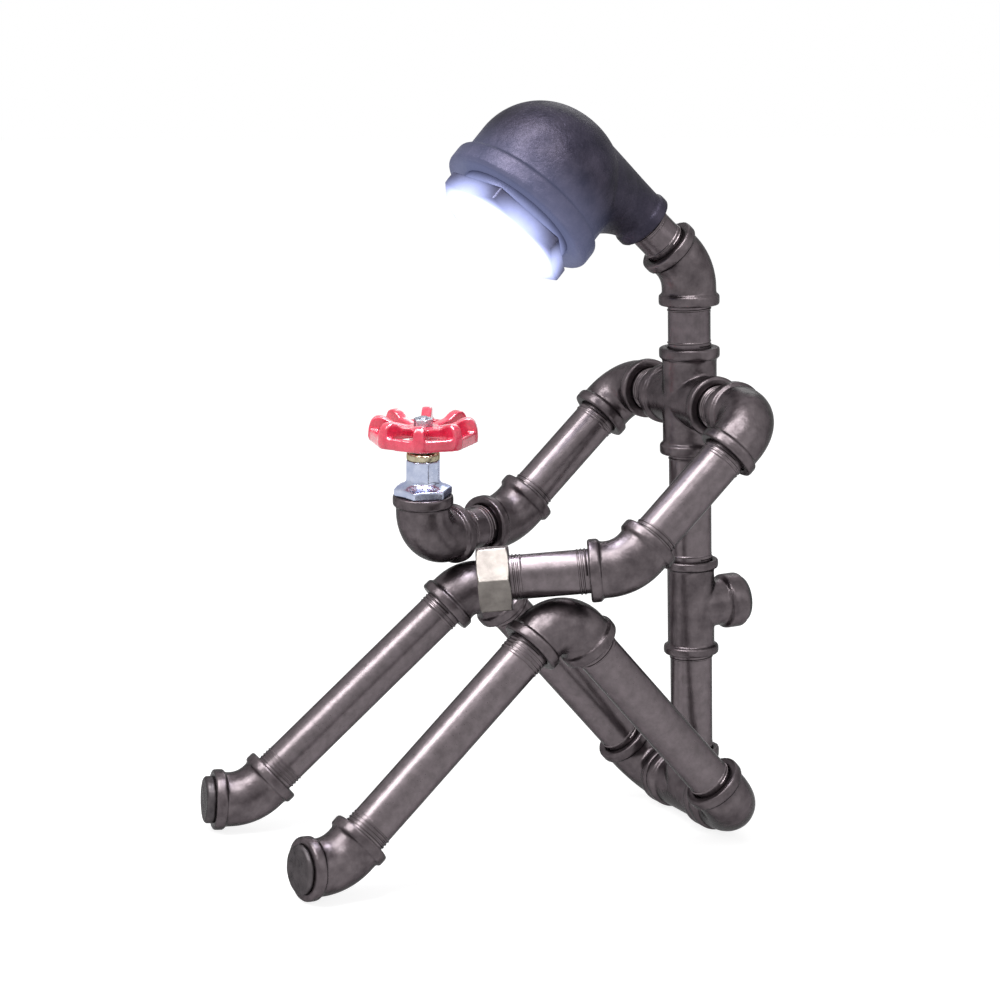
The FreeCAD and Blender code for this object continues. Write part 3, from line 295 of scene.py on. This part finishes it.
# black PVC sheath of the leads: extruded, half matt
sheathLook = {
    "dark": "#232326", "light": "#2E2E32", "worn": "#3A3A3E", "wear": 0.2, "edgeTint": "#FFFFFF",
    "patch": 8.0, "grain": 0.8, "grainDepth": 0.02, "lump": 4.0, "lumpDepth": 0.05,
    "smooth": 0.4, "dull": 0.5, "metallic": 0.0, "coat": 0.0, "coatRoughness": 0.3,
}
# white moulded nylon of the joint block and the board's solder mask: glossy
nylonLook = {
    "dark": "#DCD9CC", "light": "#EAE8DE", "worn": "#F4F2EA", "wear": 0.2, "edgeTint": "#FFFFFF",
    "patch": 6.0, "grain": 0.8, "grainDepth": 0.02, "lump": 4.0, "lumpDepth": 0.04,
    "smooth": 0.3, "dull": 0.4, "metallic": 0.0, "coat": 0.1, "coatRoughness": 0.2,
}

pairedElbows = ("_hip_elbow", "_knee_elbow", "_ankle_elbow", "_shoulder_elbow", "_arm_bend")
castingNodes = [side + name for side in sides for name in pairedElbows]
castingNodes += ["hip_tee", "cable_tee", "shoulder_cross", "neck_bend", "right_wrist_elbow"]
pairedPipes = ("_hip_nipple", "_thigh_pipe", "_shin_pipe", "_shoulder_nipple", "_upper_arm_pipe")
pipeNodes = [side + name for side in sides for name in pairedPipes]
pipeNodes += ["lower_spine_pipe", "upper_spine_pipe", "neck_pipe", "head_nipple"]
pipeNodes += ["left_forearm_pipe", "right_forearm_nipple"]
leadNodes = ["supply_lead", "neck_lead", "head_lead", "arm_lead", "forearm_lead", "hand_lead"]

pipeMaterial = metalFinish("lacqueredBlackPipe", pipeLook)
giveMaterial(pipeNodes, pipeMaterial)
giveMaterial(castingNodes, metalFinish("lacqueredMalleableIron", castingLook))
giveMaterial(["head_elbow"], metalFinish("slatePaintedCastingWithPaintedGlow", headLook))
giveMaterial(["lens_ring"], metalFinish("bluedSteelWithPaintedGlow", ringLook))
giveMaterial(["left_toe_plug", "right_toe_plug"], metalFinish("phosphatedSteel", plugLook))
giveMaterial(["left_hand_cap"], metalFinish("machinedSteel", capLook))
giveMaterial(["hand_wheel"], metalFinish("crimsonEnamel", enamelLook))
giveMaterial(["valve_bonnet", "switch_can"], metalFinish("polishedChrome", chromeLook))
giveMaterial(["gland_nut"], metalFinish("nickelledBrass", glandLook))
giveMaterial(["switch_spindle", "wheel_nut"], metalFinish("zincPlatedSteel", steelLook))
giveMaterial(["heat_sink"], metalFinish("plainAluminium", aluminiumLook))
giveMaterial(["reflector"], metalFinish("metallisedCup", mirrorLook))
giveMaterial(["lens_gasket", "cable_grommet"], metalFinish("blackRubber", rubberLook))
giveMaterial(leadNodes, metalFinish("blackSheath", sheathLook))
giveMaterial(["wire_splice", "led_board"], metalFinish("whiteNylon", nylonLook))
print("metal finishes made")


def lensFinish():
    # frosted glass lit from behind: burnt out in the middle, bluer at its rim
    material, tree, shader, place = newMaterial("litFrostedGlass", {
        "Roughness": lampLook["glassRoughness"], "Base Color": linear(lampLook["glass"]),
    })
    away = addNode(tree, "ShaderNodeVectorMath", {
        "operation": "DISTANCE", 1: tuple(lensCentre),
    }, {0: place})
    towardsRim = addNode(tree, "ShaderNodeMapRange", {
        "From Min": lampLook["coreRadius"] * mm, "From Max": lampLook["rimRadius"] * mm,
    }, {"Value": away.outputs["Value"]})
    colour = addNode(tree, "ShaderNodeMix", {
        "data_type": "RGBA", 6: linear(lampLook["lensCore"]), 7: linear(lampLook["lensRim"]),
    }, {0: towardsRim.outputs["Result"]})
    frost = addNode(tree, "ShaderNodeTexNoise", {
        "Scale": 1 / (lampLook["frost"] * mm), "Detail": 2.0,
    }, {"Vector": place})
    power = addNode(tree, "ShaderNodeMapRange", {
        "To Min": (1 - lampLook["unevenness"]) * lampLook["lensPower"],
        "To Max": (1 + lampLook["unevenness"]) * lampLook["lensPower"],
    }, {"Value": frost.outputs["Fac"]})
    tree.links.new(colour.outputs[2], shader.inputs["Emission Color"])
    tree.links.new(power.outputs["Result"], shader.inputs["Emission Strength"])
    return material


giveMaterial(["lens"], lensFinish())
print("lamp lit")

# A fine rebuild and a smoothing melt each casting's sharp joins into fillets.
# Voxel in mm, smoothing passes.
fittingCorners = (0.6, 8)
ownCorners = {
    "head_elbow": (0.7, 7), "lens_ring": (0.5, 9), "hand_wheel": (0.42, 40),
    "valve_bonnet": (0.35, 9), "gland_nut": (0.35, 3), "wheel_nut": (0.2, 3),
    "left_hand_cap": (0.45, 4), "left_toe_plug": (0.45, 4), "right_toe_plug": (0.45, 4),
}


def softenCorners(name, voxel, passes):
    rebuild = nodes[name].modifiers.new("rebuild", "REMESH")
    rebuild.mode = "VOXEL"
    rebuild.voxel_size = voxel * mm
    rebuild.use_smooth_shade = True
    melt = nodes[name].modifiers.new("melt", "SMOOTH")
    melt.factor = 0.5
    melt.iterations = passes


for name in castingNodes:
    softenCorners(name, *fittingCorners)
for name, corners in ownCorners.items():
    softenCorners(name, *corners)
print("cast corners softened")

# Threads: a helical ridge on each pipe end that shows outside its fitting. Lengths in mm,
# the profile's heights and the run in and out in pitches.
thread = {
    "pitch": 1.814, "crest": 0.42, "root": 0.3, "radius": 10.65, "grip": 12.0, "clear": 0.1,
    "profile": (("root", 0.02), ("crest", 0.38), ("crest", 0.6), ("root", 0.96)),
    "runIn": 0.6, "runOut": 1.0, "leastRise": 0.3, "stepsPerTurn": 40,
}
threadedEnds = {  # turns that show at the pipe's lower and upper end
    "left_shin_pipe": (3.4, 4.2), "right_shin_pipe": (4.2, 2.6),
    "left_thigh_pipe": (1.4, 2.4), "right_thigh_pipe": (1.4, 2.4),
    "left_upper_arm_pipe": (2.2, 2.2), "right_upper_arm_pipe": (2.2, 2.2),
    "left_forearm_pipe": (2.6, 2.6),
    "left_shoulder_nipple": (2.6, 2.6), "right_shoulder_nipple": (2.6, 2.6),
    "right_forearm_nipple": (3.4, 2.6),
    "neck_pipe": (1.4, 1.4), "head_nipple": (1.6, 1.6),
    "lower_spine_pipe": (1.2, 1.2), "upper_spine_pipe": (1.2, 1.2),
}


def pipeEnds(name):
    # a straight pipe's two end points, the lower one first, or the right one if it lies level
    points = pointsOf(name)
    along = mainDirections(points)[2]
    reach = [along.dot(Vector(point)) for point in points]
    middle = Vector((points.min(0) + points.max(0)) / 2)
    start = middle + along * (min(reach) - along.dot(middle))
    end = middle + along * (max(reach) - along.dot(middle))
    isLevel = abs(start.z - end.z) < mm
    if start.z < end.z or (isLevel and start.x < end.x):
        return start, end
    return end, start


def threadRidge(pieceName, body, mouth, away, turns):
    # one ridge spun up a helix, sunk into the pipe at both ends so that it runs out
    pitch, radius = thread["pitch"] * mm, thread["radius"] * mm
    reach = {"crest": radius + thread["crest"] * mm, "root": radius - thread["root"] * mm}
    form = bmesh.new()
    ring = [form.verts.new((reach[level], 0, part * pitch)) for level, part in thread["profile"]]
    edges = [form.edges.new((ring[i], ring[(i + 1) % 4])) for i in range(4)]
    steps = int(thread["stepsPerTurn"] * turns)
    bmesh.ops.spin(
        form, geom=ring + edges, cent=(0, 0, 0), axis=(0, 0, 1),
        dvec=(0, 0, pitch / thread["stepsPerTurn"]), angle=2 * math.pi * steps / thread["stepsPerTurn"],
        steps=steps, use_merge=False, use_duplicate=False,
    )
    bmesh.ops.holes_fill(form, edges=[edge for edge in form.edges if edge.is_boundary], sides=4)
    top = max(vertex.co.z for vertex in form.verts)
    for vertex in form.verts:
        fromStart = vertex.co.z / (thread["runIn"] * pitch)
        fromTop = (top - vertex.co.z) / (thread["runOut"] * pitch)
        rise = max(min(1, fromStart, fromTop), thread["leastRise"])
        flat = Vector((vertex.co.x, vertex.co.y, 0))
        if flat.length > radius:
            flat = flat.normalized() * (reach["root"] + (flat.length - reach["root"]) * rise)
            vertex.co = Vector((flat.x, flat.y, vertex.co.z))
    bmesh.ops.recalc_face_normals(form, faces=form.faces)
    place = Matrix.Translation(mouth) @ away.to_track_quat("Z", "Y").to_matrix().to_4x4()
    bmesh.ops.transform(form, matrix=place, verts=form.verts)
    mesh = bpy.data.meshes.new(pieceName)
    form.to_mesh(mesh)
    form.free()
    mesh.materials.append(pipeMaterial)
    piece = bpy.data.objects.new(pieceName, mesh)
    bpy.context.scene.collection.objects.link(piece)
    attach(piece, body)


for name, (lowTurns, highTurns) in threadedEnds.items():
    lowEnd, highEnd = pipeEnds(name)
    along = (highEnd - lowEnd).normalized()
    gripped = along * (thread["grip"] + thread["clear"]) * mm
    threadRidge(name + "_lower_thread", bodyOf[name], lowEnd + gripped, along, lowTurns)
    threadRidge(name + "_upper_thread", bodyOf[name], highEnd - gripped, -along, highTurns)
print("threads cut:", 2 * len(threadedEnds))

stageLook = {"size": 12.0, "paper": "#F2F2F4", "whiteShare": 0.84, "paperShare": 0.36, "ambient": 0.5}


def seenDirectly(tree):
    # 1 where the camera, a reflection or a glass looks, 0 where only light is gathered
    path = addNode(tree, "ShaderNodeLightPath")
    glossOrGlass = addNode(tree, "ShaderNodeMath", {"operation": "MAXIMUM"}, {
        0: path.outputs["Is Glossy Ray"], 1: path.outputs["Is Transmission Ray"],
    })
    direct = addNode(tree, "ShaderNodeMath", {"operation": "MAXIMUM"}, {
        0: path.outputs["Is Camera Ray"], 1: glossOrGlass.outputs[0],
    })
    return direct.outputs[0]


bpy.ops.mesh.primitive_plane_add(size=stageLook["size"])
floor = bpy.context.object
floor.name = "studioFloor"
paper = bpy.data.materials.new("paleStudioPaper")
paper.use_nodes = True
paperTree = paper.node_tree
paperTree.nodes.clear()
plain = addNode(paperTree, "ShaderNodeBsdfDiffuse", {"Color": linear(stageLook["paper"])})
shaded = addNode(paperTree, "ShaderNodeBsdfDiffuse", {"Color": (stageLook["paperShare"],) * 3 + (1.0,)})
white = addNode(paperTree, "ShaderNodeEmission", {"Strength": stageLook["whiteShare"]})
bright = addNode(paperTree, "ShaderNodeAddShader", {}, {0: shaded.outputs[0], 1: white.outputs[0]})
paperMix = addNode(paperTree, "ShaderNodeMixShader", {}, {
    0: seenDirectly(paperTree), 1: plain.outputs[0], 2: bright.outputs[0],
})
addNode(paperTree, "ShaderNodeOutputMaterial", {}, {"Surface": paperMix.outputs[0]})
floor.data.materials.append(paper)

world = bpy.data.worlds.new("studioAir")
bpy.context.scene.world = world
world.use_nodes = True
airTree = world.node_tree
airTree.nodes.clear()
strength = addNode(airTree, "ShaderNodeMapRange", {
    "To Min": stageLook["ambient"], "To Max": 1.0,
}, {"Value": seenDirectly(airTree)})
air = addNode(airTree, "ShaderNodeBackground", {"Color": (1, 1, 1, 1)}, {
    "Strength": strength.outputs["Result"],
})
addNode(airTree, "ShaderNodeOutputWorld", {}, {"Surface": air.outputs[0]})

# Softboxes: degrees round the figure and above the floor, distance and size in m, watts.
# The streak and side boxes only shine in the metal.
softboxes = {
    "keySoftbox": {
        "round": 8, "above": 50, "distance": 1.3, "wide": 0.5, "tall": 1.0, "watts": 11.0,
        "glossOnly": False,
    },
    "streakSoftbox": {
        "round": 12, "above": 54, "distance": 1.3, "wide": 0.5, "tall": 0.6, "watts": 8.0,
        "glossOnly": True,
    },
    "sideSoftbox": {
        "round": 76, "above": 57, "distance": 1.3, "wide": 0.5, "tall": 0.5, "watts": 8.0,
        "glossOnly": True,
    },
    "fillSoftbox": {
        "round": 118, "above": 22, "distance": 1.6, "wide": 0.9, "tall": 0.9, "watts": 2.5,
        "glossOnly": False,
    },
    "topSoftbox": {
        "round": 40, "above": 80, "distance": 1.3, "wide": 0.4, "tall": 0.4, "watts": 7.0,
        "glossOnly": False,
    },
    "backSoftbox": {
        "round": 230, "above": 35, "distance": 1.6, "wide": 0.6, "tall": 0.6, "watts": 4.0,
        "glossOnly": False,
    },
}
middle = (cadLow + cadHigh) / 2


def towards(degreesRound, degreesAbove):
    around, above = math.radians(degreesRound), math.radians(degreesAbove)
    level = math.cos(above)
    return Vector((math.sin(around) * level, -math.cos(around) * level, math.sin(above)))


for name, box in softboxes.items():
    light = bpy.data.lights.new(name, "AREA")
    light.shape = "RECTANGLE"
    light.size = box["wide"]
    light.size_y = box["tall"]
    light.energy = box["watts"]
    softbox = bpy.data.objects.new(name, light)
    bpy.context.scene.collection.objects.link(softbox)
    softbox.visible_diffuse = not box["glossOnly"]
    direction = towards(box["round"], box["above"])
    softbox.location = middle + direction * box["distance"]
    softbox.rotation_euler = direction.to_track_quat("Z", "Y").to_euler()

beam = bpy.data.lights.new("lampBeam", "SPOT")
beam.energy = lampLook["beamWatts"]
beam.color = linear(lampLook["beam"])[:3]
beam.spot_size = math.radians(lampLook["beamDegrees"])
beam.spot_blend = lampLook["beamBlend"]
beam.shadow_soft_size = lampLook["beamSoftness"]
beamLamp = bpy.data.objects.new("lampBeam", beam)
bpy.context.scene.collection.objects.link(beamLamp)
beamLamp.visible_diffuse = False  # the lens itself gives that light
beamLamp.location = paintedGlowAndBeamPoint
beamLamp.rotation_euler = (-lampAxis).to_track_quat("Z", "Y").to_euler()

# degrees round the figure, above the floor and of roll, place in m, focal length in mm
cameraLook = {
    "round": 63.918, "above": 10.279, "roll": 1.348,
    "place": (1.212627, -0.598217, 0.416966), "lens": 101.217, "farthest": 50,
}
back = towards(cameraLook["round"], cameraLook["above"])
around = math.radians(cameraLook["round"])
level = Vector((math.cos(around), math.sin(around), 0))
roll = math.radians(cameraLook["roll"])
rightwards = level * math.cos(roll) + back.cross(level) * math.sin(roll)
upwards = back.cross(rightwards)
camera = bpy.data.objects.new("photoCamera", bpy.data.cameras.new("photoCamera"))
bpy.context.scene.collection.objects.link(camera)
turn = Matrix((rightwards, upwards, back)).transposed().to_4x4()
camera.matrix_world = Matrix.Translation(cameraLook["place"]) @ turn
camera.data.lens = cameraLook["lens"]
camera.data.clip_end = cameraLook["farthest"]
bpy.context.scene.camera = camera
bpy.context.scene.view_settings.view_transform = "Standard"
print("stage set")
